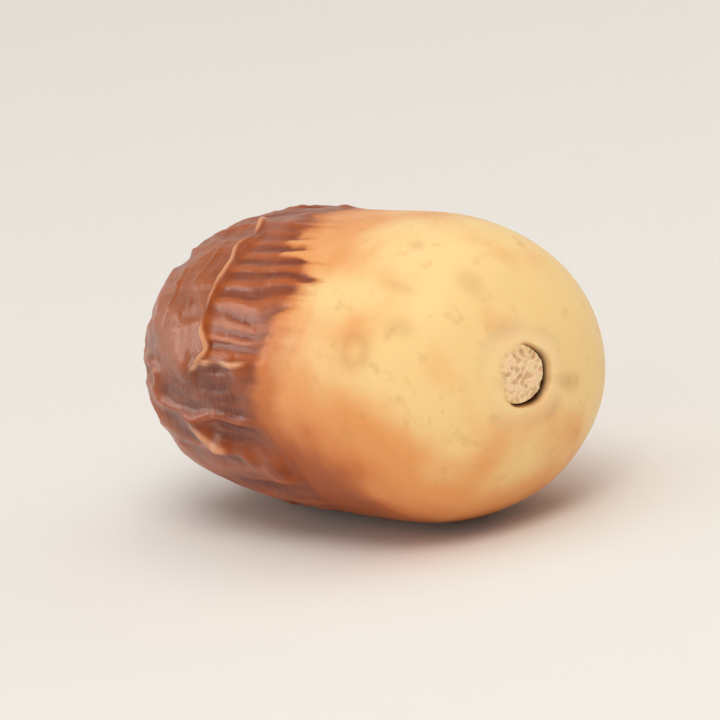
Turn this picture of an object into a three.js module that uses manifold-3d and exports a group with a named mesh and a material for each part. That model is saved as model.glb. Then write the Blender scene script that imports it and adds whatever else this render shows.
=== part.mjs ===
// A whole ripe date: one closed body of flesh and skin, lying on its side with the stem end at +X.
// Millimetres, +Z up. The origin is the middle of the fruit's bounding box, at the surface it rests on.
import * as THREE from "three";
import { mergeVertices } from "three/addons/utils/BufferGeometryUtils.js";
import Module from "manifold-3d";

// Driving dimensions.
const LENGTH = 47;                // from the tip to the stem end
const GIRTH = 24.5;               // diameter at the belly, the thickest place
const BELLY_TO_STEM = 20.9;       // from the belly to the stem end, along the fruit
const STEM_FULLNESS = 5.0;        // exponent of the stem half's outline: the higher, the blunter
const TIP_FULLNESS = 4.0;         // exponent of the tip half's outline
const SWELL = 0.03;               // share of the radius by which the belly swells over a straight barrel
const TAPER = 0.03;               // share of the radius lost from one end of the fruit to the other
const PITCH = THREE.MathUtils.degToRad(1.5);   // how far the stem end is raised as it lies
const FLAT_WIDTH = 4.4;           // width of the pressed spot that the fruit rests on

// The scar where the fruit stood on its stalk: the cap's footprint, a rim, and a plug in a pit.
const CAP_RADIUS = 3.8;
const CAP_CLEARANCE = 1.1;        // the plain outline stops at this many cap radii
const CAP_SINK = 0.35;            // how far the footprint's edge lies back from the rim
const CAP_STEP = 0.02;            // a low step just inside that edge
const RIM_WIDTH = 0.35;
const PIT_RADIUS = 2.4;
const PIT_DEPTH = 0.95;
const PLUG_RADIUS = 1.75;
const PLUG_SINK = 0.15;
const PLUG_SHIFT = 0.45;          // the plug stands off centre, so the gap is wide on one side
const GAP_SIDE = THREE.MathUtils.degToRad(325);   // that side, counted from +Y over the top
const ROUNDING = 0.1;             // how much the edges of pit and plug are eased

// The tip: a dimple with the dried remains of the flower as a boss in its middle.
const DIMPLE_RADIUS = 3.4;
const DIMPLE_DEPTH = 0.75;
const BOSS_RADIUS = 0.8;
const BOSS_HEIGHT = 0.45;

// The fineness of the body.
const SEGMENTS_ROUND = 52;
const STEPS_EACH_HALF = 15;

// Broad places where the skin has sunk as the flesh dried. Places are millimetres from the belly
// along the fruit and degrees around it, counted from +Y over the top; reach and spread are the
// half sizes of each hollow.
const HOLLOWS = [
  { along: -11.5, around: 118, reach: 5.2, spread: 26, depth: 0.3 },
  { along: -13.5, around: 182, reach: 4.6, spread: 20, depth: 0.26 },
  { along: -12.0, around: 232, reach: 7.5, spread: 15, depth: 0.3 },
  { along: -9.0, around: 20, reach: 7.0, spread: 24, depth: 0.72 },
  { along: -14.0, around: -48, reach: 5.5, spread: 22, depth: 0.55 },
  { along: 7.5, around: -12, reach: 5.0, spread: 18, depth: 0.22 },
];

// Lengthwise folds of the drier tip half.
const FOLD_DEPTH = 0.16;
const FOLD_COUNT = 7;
const FOLD_START = 4;             // the folds begin this far from the belly, towards the tip
const FOLD_RUN_IN = 6;            // and reach their full depth over this length
const FOLD_TWIST = 0.12;          // radians they turn round the fruit for each millimetre along

// The section's shape, as shares of the radius.
const WIDER_THAN_HIGH = 0.012;
const FULLER_FLANK = 0.008;
const FLANK_TURN = 1.1;           // radians from +Y to the fuller flank's place in the section
const GRIP_SHARE = 0.5;           // nearer the axis than this, hollows and folds fade out

const RADIUS = GIRTH / 2;
const BELLY_TO_TIP = LENGTH - BELLY_TO_STEM;
const WELD = 1e-4;                // points nearer each other than this become one

// The radius of the plain outline at a place along the fruit.
function outlineRadius(along) {
  const share = along > 0 ? along / BELLY_TO_STEM : -along / BELLY_TO_TIP;
  const fullness = along > 0 ? STEM_FULLNESS : TIP_FULLNESS;
  const taper = 1 + (TAPER * along) / LENGTH;
  const swell = 1 - SWELL * share * share;
  return RADIUS * taper * swell * Math.sqrt(Math.max(0, 1 - share ** fullness));
}

// The half outline from the tip to the stem end, with points closer together towards both ends.
function outlinePoints() {
  const points = [new THREE.Vector2(0, -BELLY_TO_TIP)];
  for (let step = 1; step < 2 * STEPS_EACH_HALF; step += 1) {
    const turn = (step / STEPS_EACH_HALF - 1) * (Math.PI / 2);
    const share = Math.sin(turn);
    const along = share < 0 ? share * BELLY_TO_TIP : share * BELLY_TO_STEM;
    points.push(new THREE.Vector2(outlineRadius(along), along));
  }
  return points.filter((point) => point.y < 0 || point.x > CAP_RADIUS * CAP_CLEARANCE);
}

// The scar's own outline, from the edge of the cap's footprint in to the middle of the plug.
function scarPoints() {
  const end = BELLY_TO_STEM;
  return [
    new THREE.Vector2(CAP_RADIUS, end - CAP_SINK),
    new THREE.Vector2(CAP_RADIUS - RIM_WIDTH, end - CAP_SINK - CAP_STEP),
    new THREE.Vector2(PIT_RADIUS + RIM_WIDTH, end),
    new THREE.Vector2(PIT_RADIUS, end - ROUNDING),
    new THREE.Vector2(PIT_RADIUS - ROUNDING, end - PIT_DEPTH),
    new THREE.Vector2(PLUG_RADIUS, end - PIT_DEPTH),
    new THREE.Vector2(PLUG_RADIUS - ROUNDING, end - PLUG_SINK - ROUNDING),
    new THREE.Vector2(0, end - PLUG_SINK),
  ];
}

// The shortest way round between two angles, in degrees.
function angleBetween(a, b) {
  return ((((a - b) % 360) + 540) % 360) - 180;
}

// How far the skin sinks below the plain outline at a place.
function sunkBy(along, around) {
  let sunk = 0;
  for (const hollow of HOLLOWS) {
    const off = (along - hollow.along) / hollow.reach;
    const turn = angleBetween(around, hollow.around) / hollow.spread;
    sunk += hollow.depth * Math.exp(-off * off - turn * turn);
  }
  const driedShare = THREE.MathUtils.smoothstep(-along, FOLD_START, FOLD_START + FOLD_RUN_IN);
  const wave = Math.cos(THREE.MathUtils.degToRad(around) * FOLD_COUNT + along * FOLD_TWIST);
  return sunk + FOLD_DEPTH * driedShare * (0.5 + 0.5 * wave);
}

// The dimple and boss push points near the tip along the fruit.
function tipShift(radius) {
  const dimple = DIMPLE_DEPTH * Math.exp(-((radius / DIMPLE_RADIUS) ** 2));
  const boss = BOSS_HEIGHT * Math.exp(-((radius / BOSS_RADIUS) ** 2));
  return dimple - boss;
}

// The section is a little wider than it is high, and one flank is fuller than the other.
function sectionShare(around) {
  const turn = THREE.MathUtils.degToRad(around);
  return 1 + WIDER_THAN_HIGH * Math.cos(2 * turn) + FULLER_FLANK * Math.cos(3 * turn + FLANK_TURN);
}

// The turned body with its skin sunk and folded, its axis along X. The scar keeps its own shape,
// but for its plug, which moves off centre.
function shapedBody() {
  const outline = [...outlinePoints(), ...scarPoints()];
  const geometry = new THREE.LatheGeometry(outline, SEGMENTS_ROUND);
  geometry.rotateZ(-Math.PI / 2);
  const place = geometry.getAttribute("position");
  for (let i = 0; i < place.count; i += 1) {
    const along = place.getX(i);
    const radius = Math.hypot(place.getY(i), place.getZ(i));
    if (along > 0 && radius < CAP_RADIUS + ROUNDING) {
      const shift = radius < PLUG_RADIUS + ROUNDING ? PLUG_SHIFT : 0;
      place.setY(i, place.getY(i) - shift * Math.cos(GAP_SIDE));
      place.setZ(i, place.getZ(i) - shift * Math.sin(GAP_SIDE));
      continue;
    }
    const around = THREE.MathUtils.radToDeg(Math.atan2(place.getZ(i), place.getY(i)));
    const grip = Math.min(1, radius / (GRIP_SHARE * RADIUS));
    const wanted = radius * sectionShare(around) - grip * sunkBy(along, around);
    const share = radius > 0 ? wanted / radius : 1;
    const shift = along < -BELLY_TO_TIP / 2 ? tipShift(radius) : 0;
    place.setXYZ(i, along + shift, place.getY(i) * share, place.getZ(i) * share);
  }
  geometry.rotateY(-PITCH);
  return geometry;
}

// A closed mesh as a solid that can be cut.
function solidFrom(wasm, geometry) {
  const bare = geometry.clone();
  bare.deleteAttribute("normal");
  bare.deleteAttribute("uv");
  const merged = mergeVertices(bare, WELD);
  const mesh = new wasm.Mesh({
    numProp: 3,
    vertProperties: new Float32Array(merged.getAttribute("position").array),
    triVerts: new Uint32Array(merged.index.array),
  });
  return new wasm.Manifold(mesh);
}

// A solid as a geometry again.
function geometryFrom(solid) {
  const mesh = solid.getMesh();
  const geometry = new THREE.BufferGeometry();
  geometry.setAttribute("position", new THREE.BufferAttribute(mesh.vertProperties, 3));
  geometry.setIndex(new THREE.BufferAttribute(mesh.triVerts, 1));
  geometry.computeVertexNormals();
  return geometry;
}

// The body with its pressed resting spot cut flat, moved to stand on z = 0 over the origin.
function restingFruit(wasm) {
  const body = shapedBody();
  body.computeBoundingBox();
  const sagitta = RADIUS - Math.sqrt(RADIUS ** 2 - (FLAT_WIDTH / 2) ** 2);
  const floor = body.boundingBox.min.z + sagitta;
  const below = new THREE.BoxGeometry(2 * LENGTH, 2 * GIRTH, GIRTH);
  below.translate(0, 0, floor - GIRTH / 2);
  const fruit = geometryFrom(solidFrom(wasm, body).subtract(solidFrom(wasm, below)));
  fruit.computeBoundingBox();
  const middle = fruit.boundingBox.getCenter(new THREE.Vector3());
  fruit.translate(-middle.x, -middle.y, -fruit.boundingBox.min.z);
  return fruit;
}

const wasm = await Module();
wasm.setup();

const skin = new THREE.MeshStandardMaterial({ color: 0xd29a5e, roughness: 0.42, metalness: 0 });
const dateFruit = new THREE.Mesh(restingFruit(wasm), skin);
dateFruit.name = "date_fruit";

const group = new THREE.Group();
group.add(dateFruit);

export default group;
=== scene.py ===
import math

import bmesh
import bpy
import numpy as np
from mathutils import Matrix, Vector, noise


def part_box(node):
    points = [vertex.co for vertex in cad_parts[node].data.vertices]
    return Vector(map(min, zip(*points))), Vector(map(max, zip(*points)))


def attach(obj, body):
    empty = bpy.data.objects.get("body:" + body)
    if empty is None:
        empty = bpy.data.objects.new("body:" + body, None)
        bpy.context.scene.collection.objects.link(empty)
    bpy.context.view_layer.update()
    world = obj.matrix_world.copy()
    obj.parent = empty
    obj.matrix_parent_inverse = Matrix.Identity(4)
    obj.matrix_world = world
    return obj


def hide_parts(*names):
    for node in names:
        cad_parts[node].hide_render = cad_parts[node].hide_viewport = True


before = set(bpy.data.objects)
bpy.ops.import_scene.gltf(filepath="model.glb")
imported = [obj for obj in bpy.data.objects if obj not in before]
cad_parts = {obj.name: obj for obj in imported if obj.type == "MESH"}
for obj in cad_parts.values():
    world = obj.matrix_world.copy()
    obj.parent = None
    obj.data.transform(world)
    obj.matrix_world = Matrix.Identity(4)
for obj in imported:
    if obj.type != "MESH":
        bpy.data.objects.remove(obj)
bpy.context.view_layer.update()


# ---------------------------------------------------------------------------------------------
# The fruit's body: one plump barrel, blunt at the stem end and rounder at the tip, spun about
# its long axis, X, with the rings closer at the stem end, where the scar needs them. Sizes are
# in millimetres and angles in degrees until the mesh is put in its place.
# ---------------------------------------------------------------------------------------------
MM = 0.001
fruit_low, fruit_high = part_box("date_fruit")

LENGTH = 47.0
RADIUS = 12.25
BELLY_TO_STEM = 20.9
BELLY_TO_TIP = LENGTH - BELLY_TO_STEM
STEM_FULLNESS = 5.0
TIP_FULLNESS = 4.0
TAPER = 0.03
SWELL = 0.03
PITCH = math.radians(1.5)

BODY_RINGS = 244
SCAR_RINGS = 56
STEPS_ROUND = 320
SCAR_ZONE = 4.6


def outline_radius(along):
    """The plain barrel's radius at a place along the fruit, counted from the belly."""
    stem_side = along > 0
    share = np.where(stem_side, along / BELLY_TO_STEM, -along / BELLY_TO_TIP)
    fullness = np.where(stem_side, STEM_FULLNESS, TIP_FULLNESS)
    barrel = np.sqrt(np.clip(1 - share**fullness, 0, None))
    return RADIUS * (1 + TAPER * along / LENGTH) * (1 - SWELL * share**2) * barrel


def half_outline():
    """Points from the tip to the stem end, evenly spaced, but closer near the stem's scar."""
    turn = np.linspace(-math.pi / 2, math.pi / 2, 6001)
    along = np.sin(turn) * np.where(turn > 0, BELLY_TO_STEM, BELLY_TO_TIP)
    radius = outline_radius(along)
    radius[[0, -1]] = 0
    walked = np.concatenate([[0], np.cumsum(np.hypot(np.diff(along), np.diff(radius)))])
    scar_edge = walked[-1] - SCAR_ZONE
    stops = np.concatenate([
        np.linspace(0, scar_edge, BODY_RINGS, endpoint=False),
        np.linspace(scar_edge, walked[-1], SCAR_RINGS),
    ])
    return np.interp(stops, walked, along), np.interp(stops, walked, radius)


def spin_body():
    """The closed barrel, its long axis on X and its belly at the origin, in millimetres."""
    bm = bmesh.new()
    points = [bm.verts.new((x, 0, r)) for x, r in zip(*half_outline())]
    edges = [bm.edges.new(pair) for pair in zip(points, points[1:])]
    bmesh.ops.spin(
        bm, geom=points + edges, cent=(0, 0, 0), axis=(1, 0, 0),
        angle=2 * math.pi, steps=STEPS_ROUND, use_merge=True,
    )
    bmesh.ops.remove_doubles(bm, verts=bm.verts, dist=1e-4)
    bmesh.ops.recalc_face_normals(bm, faces=bm.faces)
    mesh = bpy.data.meshes.new("date_skin")
    bm.to_mesh(mesh)
    bm.free()
    return mesh


skin_mesh = spin_body()
count = len(skin_mesh.vertices)
body = np.empty(count * 3)
skin_mesh.vertices.foreach_get("co", body)
body = body.reshape(-1, 3)
outward = np.empty(count * 3)
skin_mesh.vertex_normals.foreach_get("vector", outward)
outward = outward.reshape(-1, 3)

along = body[:, 0]
girth = np.hypot(body[:, 1], body[:, 2])
around = np.degrees(np.arctan2(body[:, 2], body[:, 1]))


# ---------------------------------------------------------------------------------------------
# The sunken flesh. As a date dries from the tip, broad patches of its side fall in, its
# section goes out of round and lengthwise folds draw together towards the tip.
# ---------------------------------------------------------------------------------------------
def turn_from(middle):
    """Degrees round the fruit from an angle, between -180 and 180."""
    return (around - middle + 180) % 360 - 180


def ease(value, start, stop):
    """0 before start, 1 past stop, and smooth between."""
    share = np.clip((value - start) / (stop - start), 0, 1)
    return share * share * (3 - 2 * share)


def grain(lengthwise, crosswise, seed, warp=0.0):
    """Smooth noise from -1 to 1 over the skin, its lumps of a given size in mm along and across."""
    scaled = body / np.array([lengthwise, crosswise, crosswise]) + seed * 7.31
    if warp:
        bent = body / 5.0 + seed * 3.17
        sway = np.array([noise.noise(Vector(p)) for p in bent])
        scaled = scaled + (warp * sway)[:, None]
    return np.array([noise.noise(Vector(p)) for p in scaled]) * 1.6


def crests(lengthwise, crosswise, seed, warp):
    """Wrinkles with narrow crests and round furrows between them, from -1 to 1."""
    return np.clip(1 - 2.6 * np.abs(grain(lengthwise, crosswise, seed, warp)), -1, 1)


def patch(middle_along, middle_around, reach, spread):
    """A soft-edged patch of skin, 1 in its middle, with half sizes in mm and degrees."""
    off = (along - middle_along) / reach
    turn = turn_from(middle_around) / spread
    return np.exp(-((off**2 + turn**2) ** 1.5))


HOLLOWS = [
    # along, around, reach, spread, depth
    (-11.5, 118, 5.2, 26, 0.30),
    (-13.5, 182, 4.6, 20, 0.26),
    (-12.0, 232, 7.5, 15, 0.30),
    (-9.0, 20, 7.0, 24, 0.72),
    (-14.0, -48, 5.5, 22, 0.55),
    (7.5, -12, 5.0, 18, 0.22),
]

# The section is a little wider than it is high, and one flank is fuller than the other.
WIDER_THAN_HIGH = 0.012
FULLER_FLANK = 0.008
FLANK_TURN = 1.1
section_turn = np.radians(around)
lift = RADIUS * (
    WIDER_THAN_HIGH * np.cos(2 * section_turn)
    + FULLER_FLANK * np.cos(3 * section_turn + FLANK_TURN)
) * ease(girth, 1.0, 9.0)
for hollow_along, hollow_around, reach, spread, depth in HOLLOWS:
    off = (along - hollow_along) / reach
    turn = turn_from(hollow_around) / spread
    lift -= depth * np.exp(-off**2 - turn**2) * ease(girth, 0.5, 6.0)
lift += 0.07 * grain(9.0, 5.0, 11.0) * ease(girth, 1.5, 7.0)

# ---------------------------------------------------------------------------------------------
# Where the skin has ripened to brown: a ragged line round the fruit, combed out lengthwise
# where furrows in the ripe skin run into the pale, firm half.
# ---------------------------------------------------------------------------------------------
RIPE_LINE = [
    # around, along
    (0, -3.0), (30, 0.5), (60, -2.5), (85, -3.0), (101, -0.5), (116, 0.5), (131, 5.0),
    (149, 4.6), (165, 2.6), (187, 2.4), (200, 4.6), (218, 4.6), (240, 2.0), (270, -1.0),
    (300, -5.0), (330, -6.0),
]
line_around = np.array([place[0] for place in RIPE_LINE], float)
line_along = np.array([place[1] for place in RIPE_LINE], float)
ripe_line = np.interp(around % 360, line_around, line_along, period=360)

# The furrowed panel on one flank: ribs side by side, like fine corduroy.
PANEL_MIDDLE = 135
RIB_SPACING = 1.5
RIB_HEIGHT = 0.085
PANEL_SINK = 0.16
rib_sway = 0.34 * grain(6.0, 3.0, 5.0)
rib_turn = np.radians(turn_from(PANEL_MIDDLE)) * RADIUS / RIB_SPACING + rib_sway + 0.02 * along
ribs = np.cos(2 * math.pi * rib_turn)
fine_ribs = np.cos(2 * math.pi * (2.3 * rib_turn + 0.3 * grain(6.0, 1.5, 15.0)))
rib_strength = np.clip(0.70 + 0.6 * grain(3.6, 1.7, 6.0), 0, 1)
ribs = (0.85 * ribs + 0.22 * fine_ribs) * rib_strength
panel = (
    ease(along, -7.6, -6.2) * (1 - ease(along, 3.0, 8.0))
    * ease(turn_from(104), 0, 9) * (1 - ease(turn_from(163), -3, 3))
)

streaks = grain(10.0, 0.62, 1.0, warp=0.25)
comb = patch(1.0, 122, 9.0, 26)
brown_by = (
    ripe_line - along - 1.5 * comb * ribs + streaks * (0.25 + 1.6 * comb)
    + 1.1 * grain(4.2, 3.4, 2.0)
)
ripe = ease(brown_by, -0.6, 0.6)
dried = ease(brown_by, -0.3, 5.0)

# ---------------------------------------------------------------------------------------------
# Folds and wrinkles of the dried skin: long folds, finer wrinkles between them, and hoops
# round the loose skin past the panel.
# ---------------------------------------------------------------------------------------------
FOLD_HEIGHT = 0.24
WRINKLE_HEIGHT = 0.062
HOOP_HEIGHT = 0.03
CRINKLE_HEIGHT = 0.010
folds = crests(20.0, 2.6, 3.0, 0.4)
long_folds = crests(26.0, 2.7, 18.0, 0.25)
wrinkles = crests(9.0, 1.2, 4.0, 0.5)
hoops = crests(1.5, 9.0, 7.0, 0.5)
crinkle = crests(1.3, 1.0, 8.0, 0.7)

loose = np.clip(
    patch(-14.0, 138, 7.5, 34) + patch(-13.0, 25, 9.0, 30) + patch(-12.0, 300, 8.0, 24), 0, 1
)
underside = patch(-4.0, 222, 12.0, 28)
folds = folds + (long_folds - folds) * underside
fold_height = FOLD_HEIGHT - 0.11 * loose - 0.20 * panel
wrinkle_height = WRINKLE_HEIGHT - 0.02 * underside - 0.03 * loose - 0.045 * panel
lift += dried * fold_height * folds
lift += dried * wrinkle_height * wrinkles
lift += ripe * panel * RIB_HEIGHT * ribs
lift += dried * loose * HOOP_HEIGHT * hoops
lift += dried * CRINKLE_HEIGHT * crinkle
lift -= PANEL_SINK * panel * ripe

# Single creases of the loose skin, each with a narrow crest: a route over the skin through
# places (along, around), then its height, its half width and how strong a painted highlight its
# crest gets.
ROUTE_STEPS = 24  # steps from one place on a route to the next
SMOOTHED = 13     # steps that each corner of a route is rounded over
FADED_STEPS = 14  # steps in which a crease rises at its ends
painted_glint = np.zeros(count)
uneven = np.clip(0.9 + 0.7 * grain(2.6, 2.6, 16.0), 0.25, 1.4)


def crease(route, height, width, glint_share=0.2):
    """Raises one crease along its route and marks its crest in the field of painted highlights."""
    global lift, painted_glint
    stops = np.linspace(0, len(route) - 1, ROUTE_STEPS * (len(route) - 1) + 1)
    knots = np.arange(len(route))
    smooth = np.ones(SMOOTHED) / SMOOTHED
    places = []
    for values in zip(*route):
        drawn = np.interp(stops, knots, values)
        places.append(np.convolve(np.pad(drawn, SMOOTHED // 2, mode="edge"), smooth, mode="valid"))
    run, turn = places[0], np.radians(places[1])
    reach = outline_radius(run)
    line = np.stack([run, reach * np.cos(turn), reach * np.sin(turn)], axis=1)
    nearest = np.full(count, 1e9)
    strength = np.zeros(count)
    from_start = np.arange(len(line))
    fade = np.clip(np.minimum(from_start, from_start[::-1]) / FADED_STEPS, 0, 1)
    near = np.linalg.norm(body - line.mean(0), axis=1) < np.ptp(line, axis=0).max() + 4 * width
    close = np.flatnonzero(near)
    for point, share in zip(line, fade):
        apart = ((body[close] - point) ** 2).sum(1)
        better = apart < nearest[close]
        nearest[close[better]] = apart[better]
        strength[close[better]] = share
    crest = strength * np.exp(-nearest / width**2)
    lift = lift + height * uneven * crest
    painted_glint = np.maximum(painted_glint, crest * uneven * glint_share)


# The flank with the panel: its edge ridge, the ledge below it, a full fold, the folds under that
# and two faint creases beyond the panel; the ridge, the ledge and the full fold carry painted
# highlights on their crests.
crease([(-11.0, 92), (-9.6, 101), (-7.8, 110), (-8.9, 116), (-7.4, 126), (-7.6, 140), (-7.5, 154),
        (-6.2, 161), (-7.4, 166), (-9.5, 171)], 0.30, 0.27, 1.0)
crease([(-8.2, 167), (-5.0, 165), (-2.0, 166), (1.0, 164), (3.4, 165)], 0.22, 0.30, 0.8)
crease([(-12.5, 188), (-8.4, 196), (-5.0, 201), (-2.0, 204), (2.5, 205)], 0.62, 1.0, 0.35)
crease([(-12.2, 189), (-9.0, 194), (-6.6, 198), (-4.4, 200)], 0.20, 0.42, 0.9)
crease([(-9.0, 212), (-5.0, 214), (0.0, 211), (4.0, 209)], 0.24, 0.42)
crease([(-10.0, 222), (-6.0, 226), (-1.0, 223), (4.0, 219)], 0.26, 0.48)
crease([(-9.0, 236), (-4.0, 239), (1.0, 234)], 0.24, 0.50)
crease([(-16.5, 118), (-15.0, 128), (-14.6, 142), (-15.8, 156)], 0.13, 0.34)
crease([(-12.2, 108), (-11.2, 122), (-11.6, 138), (-10.6, 150)], 0.10, 0.30)
# The far flank: one long winding crease with its branches, and a few folds beside it.
crease([(-1.0, 42), (-2.5, 36), (-6.0, 38), (-8.5, 32), (-12.0, 36), (-15.5, 31), (-17.0, 20),
        (-16.0, 9), (-13.0, 5), (-12.0, -4), (-8.0, -7), (-6.0, -3), (-3.0, -5)], 0.26, 0.26)
crease([(-15.8, 9), (-18.5, 2), (-21.0, -10)], 0.20, 0.26)
crease([(-8.5, 32), (-10.0, 24), (-9.0, 14)], 0.12, 0.30)
crease([(-8.0, -30), (-12.0, -38), (-17.0, -36), (-20.0, -52), (-17.0, -68)], 0.26, 0.36)
crease([(-4.0, 74), (-8.0, 70), (-13.0, 76), (-18.0, 72)], 0.24, 0.40)
crease([(-2.0, 56), (-7.0, 52), (-12.0, 57), (-17.0, 52)], 0.18, 0.36)

# Two windows of thin skin, sunk and darker, on the far flank.
WINDOW_DEPTH = 0.22
windows = patch(-10.0, 16, 6.0, 19) + patch(-14.0, -50, 4.5, 15)
lift -= WINDOW_DEPTH * windows

# ---------------------------------------------------------------------------------------------
# The tip: a dimple where the folds run together like spokes, with the dried base of the flower
# as a small boss in its middle.
# ---------------------------------------------------------------------------------------------
SPOKES = 7
SPOKE_HEIGHT = 0.30
DIMPLE_RADIUS = 3.0
DIMPLE_DEPTH = 0.75
BOSS_RADIUS = 0.85
BOSS_HEIGHT = 0.45

at_tip = along < -BELLY_TO_TIP / 2
spokes = np.cos(np.radians(around) * SPOKES + 2.2 * grain(8.0, 8.0, 9.0) + 0.5)
lift += np.where(at_tip, SPOKE_HEIGHT * spokes * np.exp(-(((girth - 4.2) / 2.6) ** 2)), 0)
lift -= np.where(at_tip, DIMPLE_DEPTH * np.exp(-((girth / DIMPLE_RADIUS) ** 2)), 0)
boss = np.where(at_tip, np.exp(-((girth / BOSS_RADIUS) ** 4)), 0)
lift += BOSS_HEIGHT * boss

# ---------------------------------------------------------------------------------------------
# The scar at the stem end: the cap's faint footprint, a raised rim, and a torn, corky plug
# of stalk that stands off centre in its pit, with a gap open on one side that the finish darkens
# with painted shade.
# ---------------------------------------------------------------------------------------------
CAP_RADIUS = 3.8
PIT_RADIUS = 2.4
PIT_DEPTH = 1.25
PLUG_RADIUS = 2.35
PLUG_SHIFT = 0.54
GAP_SIDE = math.radians(330)

at_stem = along > BELLY_TO_STEM / 2
wobble = 1 + 0.06 * grain(3.0, 1.6, 12.0)
plug_y = body[:, 1] + PLUG_SHIFT * math.cos(GAP_SIDE)
plug_z = body[:, 2] + PLUG_SHIFT * math.sin(GAP_SIDE)
plug_girth = np.hypot(plug_y, plug_z) * wobble
pit_girth = girth * wobble
in_pit = np.where(at_stem, 1 - ease(pit_girth, PIT_RADIUS - 0.16, PIT_RADIUS + 0.14), 0)
plug = np.where(at_stem, 1 - ease(plug_girth, PLUG_RADIUS - 0.22, PLUG_RADIUS + 0.12), 0)
fibres = crests(2.0, 0.5, 13.0, 0.8)
cap = np.where(at_stem, np.exp(-(((pit_girth - CAP_RADIUS) / 0.55) ** 2)), 0)
rim = np.where(at_stem, np.exp(-(((pit_girth - PIT_RADIUS - 0.42) / 0.36) ** 2)), 0)
lift += 0.03 * rim - 0.045 * cap * (0.6 + 0.6 * grain(2.0, 2.0, 17.0))
lift -= PIT_DEPTH * in_pit * (1 - plug) + in_pit * plug * (0.04 - 0.045 * fibres)
gap = in_pit * (1 - plug)
footprint = np.where(at_stem, 1 - ease(pit_girth, CAP_RADIUS - 1.0, CAP_RADIUS + 0.4), 0)
worn_plug = np.where(at_stem, 1 - ease(pit_girth, PIT_RADIUS - 0.7, PIT_RADIUS + 0.3), 0) * plug

placed = body + outward * lift[:, None]

# ---------------------------------------------------------------------------------------------
# Put in place: raised at the stem end, pressed flat where it lies, and centred on the frame.
# The values that the finish needs are kept on the mesh, point by point.
# ---------------------------------------------------------------------------------------------
REST_DEPTH = 0.2
STRAY_SHARE = 0.02  # per cent of the points, the lowest, that don't set where the floor is

raised = Matrix.Rotation(-PITCH, 3, "Y")
placed = placed @ np.array(raised).T
placed[:, 2] -= np.percentile(placed[:, 2], STRAY_SHARE) + REST_DEPTH
placed[:, 2] = np.maximum(placed[:, 2], 0)
middle = (placed.min(0) + placed.max(0)) / 2
placed[:, :2] -= middle[:2]
placed *= MM

# Faint marks on the pale half: one ring, and a few small bruises.
BRUISES = [
    # along, around, reach, spread, strength
    (17.0, 143, 0.9, 5, 0.5),
    (14.1, 105, 0.7, 3, 0.6),
    (18.6, 103, 0.8, 7, 0.5),
    (15.4, 126, 1.5, 3, 0.5),
    (20.4, 338, 0.45, 10, 0.7),
]
marks = patch(14.0, 156, 1.3, 7) - 0.9 * patch(14.0, 156, 0.8, 4.2)
for *bruise, strength in BRUISES:
    marks += strength * patch(*bruise)

# The heights of the folds and ribs, which the finish turns into painted shade in the furrows and
# grooves, with lighter crests.
relief = dried * (0.6 * folds + 0.4 * wrinkles) * (1 - panel) + panel * ribs
# Painted shade: the low side, turned away from the light, is darkened in the finish. The blush
# mixes real ripening towards the tip with this painted shade on the low side.
low_side_shade = ease(-np.cos(np.radians(around - 66)), 0.0, 0.95)
ripeness_and_low_shade = np.clip(
    0.42 * ease(-along, -20, 0) + 0.62 * low_side_shade * (0.25 + 0.75 * ease(-along, -20.5, -12))
    + 0.14 * grain(7.0, 4.0, 14.0), 0, 1
)

skin_mesh.vertices.foreach_set("co", placed.astype(np.float32).ravel())
fields = {
    "marks": marks, "comb": comb, "low_side_shade": low_side_shade, "brown_by": brown_by, "dried": dried,
    "relief": relief, "painted_glint": painted_glint, "panel": panel, "loose": loose, "windows": windows,
    "ripeness_and_low_shade": ripeness_and_low_shade, "cap": cap, "rim": rim, "gap": gap, "plug": worn_plug,
    "footprint": footprint, "fibres": fibres, "boss": boss,
}
for name, values in fields.items():
    kept = skin_mesh.attributes.new(name, "FLOAT", "POINT")
    kept.data.foreach_set("value", values.astype(np.float32))
skin_mesh.shade_smooth()
skin_mesh.update()

date_skin = bpy.data.objects.new("date_skin", skin_mesh)
bpy.context.collection.objects.link(date_skin)
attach(date_skin, "root")
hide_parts("date_fruit")


# ---------------------------------------------------------------------------------------------
# The skin's finish: cream to peach and smooth where it is firm, amber at the turn, and brown
# where it has ripened, and paler where the skin is loose. Painted shade darkens the furrows, the
# grooves of the panel, the low side and the gap at the scar; painted highlights pale the crests
# of the creases.
# ---------------------------------------------------------------------------------------------
class Tone:
    """One output of the finish's nodes; Python's arithmetic on it adds Math nodes."""

    tree = None

    def __init__(self, socket):
        self.socket = socket

    @classmethod
    def node(cls, kind, settings=None, inputs=None, output=0):
        """Adds a node: its settings first, then the values or links of its sockets."""
        made = cls.tree.nodes.new(kind)
        for key, value in (settings or {}).items():
            setattr(made, key, value)
        for key, value in (inputs or {}).items():
            if isinstance(value, Tone):
                cls.tree.links.new(value.socket, made.inputs[key])
            else:
                made.inputs[key].default_value = value
        return cls(made.outputs[output])

    def combine(self, operation, first, second):
        return Tone.node("ShaderNodeMath", {"operation": operation}, {0: first, 1: second})

    def __add__(self, other):
        return self.combine("ADD", self, other)

    def __mul__(self, other):
        return self.combine("MULTIPLY", self, other)

    def __sub__(self, other):
        return self.combine("SUBTRACT", self, other)

    def __rsub__(self, other):
        return self.combine("SUBTRACT", other, self)

    __radd__ = __add__
    __rmul__ = __mul__

    def held(self):
        """The value kept between 0 and 1."""
        return self.combine("MINIMUM", self.combine("MAXIMUM", self, 0.0), 1.0)

    def steps(self, start, stop):
        """0 below start, 1 above stop, and smooth between."""
        return Tone.node(
            "ShaderNodeMapRange", {"interpolation_type": "SMOOTHSTEP"},
            {"Value": self, "From Min": start, "From Max": stop},
        )


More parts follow.
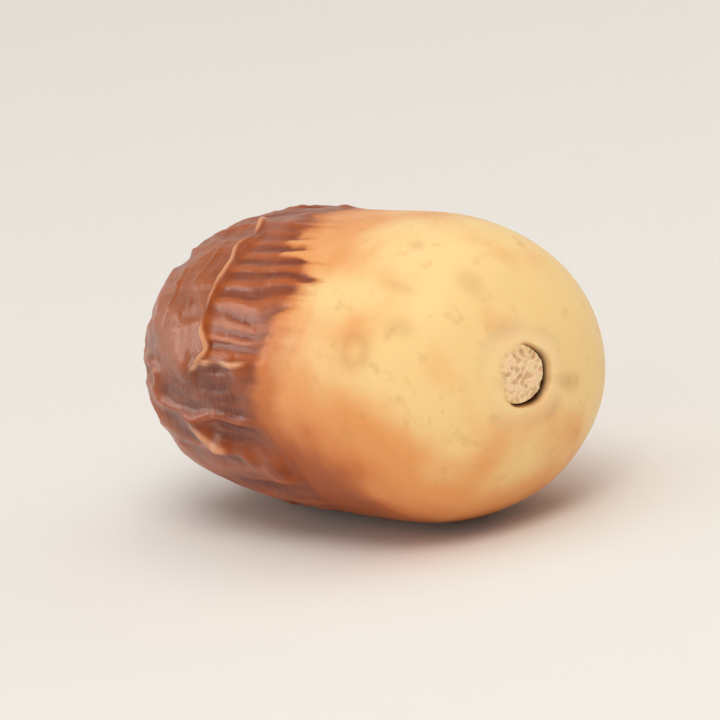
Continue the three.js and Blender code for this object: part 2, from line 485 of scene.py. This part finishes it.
def field(name):
    """A value kept on the mesh when the skin was shaped."""
    return Tone.node("ShaderNodeAttribute", {"attribute_name": name}, output="Fac")


def shade(red, green, blue):
    """A colour as seen on screen, 0 to 255, for a shader socket."""
    parts = [value / 255 for value in (red, green, blue)]
    linear = [p / 12.92 if p <= 0.04045 else ((p + 0.055) / 1.055) ** 2.4 for p in parts]
    return (*linear, 1.0)


def tinted(under, over, amount):
    """One colour laid over another by an amount from 0 to 1."""
    return Tone.node(
        "ShaderNodeMix", {"data_type": "RGBA"}, {"Factor": amount, "A": under, "B": over},
        output="Result",
    )


def mottle(size, detail=2.0, stretch=1.0, offset=0.0):
    """Soft noise over the skin, its lumps of a size in metres, stretched along the fruit."""
    placed_at = Tone.node(
        "ShaderNodeMapping", inputs={
            "Vector": Tone.node("ShaderNodeTexCoord", output="Object"),
            "Location": (offset, offset, offset),
            "Scale": (1 / (size * stretch), 1 / size, 1 / size),
        },
    )
    return Tone.node(
        "ShaderNodeTexNoise", inputs={"Vector": placed_at, "Scale": 1.0, "Detail": detail},
    )


def skin_finish():
    """The one material of the fruit, its colours laid over each other from the pale skin up."""
    finish = bpy.data.materials.new("date_skin_finish")
    finish.use_nodes = True
    Tone.tree = finish.node_tree
    shader = finish.node_tree.nodes["Principled BSDF"]

    coarse = mottle(0.0045, 3.0)
    medium = mottle(0.0016, 3.0, offset=3.0)
    fine = mottle(0.00045, 2.0, offset=7.0)
    strands = mottle(0.0005, 2.0, stretch=8.0, offset=5.0)
    relief = field("relief")
    dried = field("dried")
    painted_glint = field("painted_glint")
    panel = field("panel")
    loose = field("loose")
    comb = field("comb").held()
    low_side_shade = field("low_side_shade")
    brown_by = field("brown_by") + (medium - 0.5) * 1.4 + (strands - 0.5) * (0.8 + comb * 1.6)

    # The firm half.
    # The blush deepens the pale skin to orange and deep orange: partly ripening towards the tip,
    # partly painted shade on the low side.
    ripeness_and_low_shade = field("ripeness_and_low_shade") + (coarse - 0.5) * 0.42
    pale = tinted(shade(248, 213, 150), shade(237, 164, 100), ripeness_and_low_shade.steps(0.02, 0.42))
    pale = tinted(pale, shade(212, 114, 46), ripeness_and_low_shade.steps(0.40, 0.85) * 0.85)
    pale = tinted(pale, shade(158, 76, 28), ripeness_and_low_shade.steps(0.60, 1.0) * 0.9)
    pale = tinted(pale, shade(206, 146, 84), medium.steps(0.56, 0.76) * 0.26)
    pale = tinted(pale, shade(184, 140, 78), fine.steps(0.70, 0.82) * 0.28)
    pale = tinted(pale, shade(178, 118, 62), field("marks").held() * 0.42)

    # The ripe half.
    # Painted shade: darker in the furrows of the folds and between the ribs, lighter on their
    # crests.
    brown = tinted(shade(104, 36, 8), shade(162, 74, 24), relief.steps(-1.0, 0.9))
    brown = tinted(brown, shade(182, 92, 34), coarse.steps(0.40, 0.75) * 0.45)
    brown = tinted(brown, shade(188, 98, 44), panel * 0.55)
    # Painted shade in the grooves between the panel's ribs.
    brown = tinted(brown, shade(118, 44, 20), panel * (1 - relief.steps(-0.7, 0.6)) * 0.8)
    brown = tinted(brown, shade(166, 88, 42), loose * (0.35 + medium * 0.5))
    brown = tinted(brown, shade(106, 38, 28), field("windows").held() * 0.6)
    brown = tinted(brown, shade(200, 124, 66), strands.steps(0.55, 0.75) * 0.16)
    # Painted highlight: pale pink along the crests of the creases.
    brown = tinted(brown, shade(246, 184, 140), painted_glint.steps(0.25, 1.0) * 0.6)

    # Painted shade: the amber turn is darker on the low side.
    amber = tinted(shade(204, 108, 40), shade(164, 74, 20), low_side_shade)
    soft = 1 - comb
    skin = tinted(pale, amber, (brown_by + soft * 1.6).steps(-2.2, 1.2) * 0.75)
    skin = tinted(skin, brown, (brown_by - soft * 0.8).steps(-0.8, 1.4))

    # The scar and the tip.
    skin = tinted(skin, shade(206, 184, 150), field("cap") * coarse.steps(0.3, 0.7) * 0.35)
    skin = tinted(skin, shade(246, 208, 164), field("footprint") * coarse.steps(0.25, 0.6) * 0.5)
    skin = tinted(skin, shade(250, 222, 172), field("rim") * 0.3)
    cork = tinted(shade(222, 182, 138), shade(244, 212, 172), field("fibres").steps(-1.0, 0.4))
    cork = tinted(cork, shade(150, 110, 72), medium.steps(0.52, 0.70) * 0.6)
    cork = tinted(cork, shade(112, 74, 42), fine.steps(0.60, 0.74) * 0.5)
    skin = tinted(skin, cork, field("plug") * 0.95)
    # Painted shade: the gap round the plug is darkened.
    skin = tinted(skin, shade(84, 44, 20), field("gap").steps(0.25, 0.8))
    skin = tinted(skin, shade(96, 36, 24), field("boss"))

    rough = 0.40 - dried * 0.08 + (medium - 0.5) * 0.16 + field("plug") * 0.35
    coat = (0.08 + dried * 0.14 - field("plug")).held()
    bump = Tone.node("ShaderNodeBump", {}, {
        "Height": fine * (0.25 + dried * 0.5) + strands * dried * 0.9,
        "Strength": 0.6, "Distance": 0.00010,
    })
    links = finish.node_tree.links
    links.new(skin.socket, shader.inputs["Base Color"])
    links.new(rough.socket, shader.inputs["Roughness"])
    links.new(coat.socket, shader.inputs["Coat Weight"])
    links.new(bump.socket, shader.inputs["Normal"])
    shader.inputs["Subsurface Weight"].default_value = 0.30
    shader.inputs["Subsurface Radius"].default_value = (1.0, 0.42, 0.16)
    shader.inputs["Subsurface Scale"].default_value = 0.0015
    shader.inputs["IOR"].default_value = 1.42
    shader.inputs["Specular IOR Level"].default_value = 0.25
    shader.inputs["Specular Tint"].default_value = (1.0, 0.80, 0.64, 1.0)
    shader.inputs["Coat Roughness"].default_value = 0.17
    return finish


skin_mesh.materials.append(skin_finish())


# ---------------------------------------------------------------------------------------------
# The stage: a pale floor that sweeps up all round like a wide dish, under a large soft light
# from above and three small ones from the sides.
# ---------------------------------------------------------------------------------------------
FLAT_REACH = 0.45
SWEEP_RADIUS = 1.2
SWEEP_TOP = 1.6
SWEEP_STEPS = 32


def pale_sweep():
    """A wide dish with its middle flat, spun from one curved edge."""
    bm = bmesh.new()
    rim = [Vector((0, 0, 0)), Vector((FLAT_REACH, 0, 0))]
    for step in range(1, SWEEP_STEPS + 1):
        turn = math.radians(90) * step / SWEEP_STEPS
        out, up = math.sin(turn) * SWEEP_RADIUS, (1 - math.cos(turn)) * SWEEP_RADIUS
        rim.append(Vector((FLAT_REACH + out, 0, up)))
    rim.append(Vector((FLAT_REACH + SWEEP_RADIUS, 0, SWEEP_TOP)))
    points = [bm.verts.new(place) for place in rim]
    edges = [bm.edges.new(pair) for pair in zip(points, points[1:])]
    bmesh.ops.spin(
        bm, geom=points + edges, cent=(0, 0, 0), axis=(0, 0, 1),
        angle=2 * math.pi, steps=96, use_merge=True,
    )
    bmesh.ops.remove_doubles(bm, verts=bm.verts, dist=1e-6)
    bmesh.ops.recalc_face_normals(bm, faces=bm.faces)
    mesh = bpy.data.meshes.new("pale_sweep")
    bm.to_mesh(mesh)
    bm.free()
    mesh.shade_smooth()
    return mesh


sweep = bpy.data.objects.new("pale_sweep", pale_sweep())
bpy.context.collection.objects.link(sweep)
paper = bpy.data.materials.new("sweep_paper")
paper.use_nodes = True
paper_shader = paper.node_tree.nodes["Principled BSDF"]
paper_shader.inputs["Base Color"].default_value = (0.83, 0.81, 0.78, 1)
paper_shader.inputs["Roughness"].default_value = 0.9
sweep.data.materials.append(paper)


def soft_light(name, place, aim, size, power, tint):
    """A square soft box at a place, facing a point."""
    lamp = bpy.data.lights.new(name, "AREA")
    lamp.size = size
    lamp.energy = power
    lamp.color = tint
    box = bpy.data.objects.new(name, lamp)
    box.location = place
    box.rotation_euler = (Vector(aim) - Vector(place)).to_track_quat("-Z", "Y").to_euler()
    bpy.context.collection.objects.link(box)


fruit_middle = (fruit_low + fruit_high) / 2
soft_light("overhead_light", (0.0, 0.0, 1.25), fruit_middle, 1.7, 9.4, (1.0, 0.98, 0.95))
soft_light("key_light", (0.42, -0.20, 0.60), fruit_middle, 0.36, 1.7, (1.0, 0.96, 0.91))
soft_light("side_light", (-0.62, -0.26, 0.16), fruit_middle, 0.22, 0.45, (1.0, 0.94, 0.88))
soft_light("fill_light", (0.10, -0.62, 0.14), fruit_middle, 0.22, 0.30, (1.0, 0.96, 0.92))

world = bpy.data.worlds.new("studio")
world.use_nodes = True
world.node_tree.nodes["Background"].inputs["Color"].default_value = (1.0, 0.98, 0.95, 1)
world.node_tree.nodes["Background"].inputs["Strength"].default_value = 0.37
bpy.context.scene.world = world
bpy.context.scene.view_settings.view_transform = "Standard"


# ---------------------------------------------------------------------------------------------
# The camera looks at the stem end from one side and a little above, tilted so that the
# fruit's long axis lies nearly level.
# ---------------------------------------------------------------------------------------------
VIEW_AZIMUTH = math.radians(58.8)
VIEW_HEIGHT = math.radians(12)
VIEW_ROLL = math.radians(11.2)
VIEW_DISTANCE = 0.418
LENS = 262

back = Vector((
    math.sin(VIEW_AZIMUTH) * math.cos(VIEW_HEIGHT),
    -math.cos(VIEW_AZIMUTH) * math.cos(VIEW_HEIGHT),
    math.sin(VIEW_HEIGHT),
))
eye = bpy.data.cameras.new("camera")
eye.lens = LENS
eye.clip_start = 0.01
eye.clip_end = 10
camera = bpy.data.objects.new("camera", eye)
camera.location = fruit_middle + back * VIEW_DISTANCE
aimed = (-back).to_track_quat("-Z", "Y").to_matrix().to_4x4()
camera.matrix_world = Matrix.Translation(camera.location) @ aimed @ Matrix.Rotation(
    -VIEW_ROLL, 4, "Z"
)
bpy.context.collection.objects.link(camera)
bpy.context.scene.camera = camera
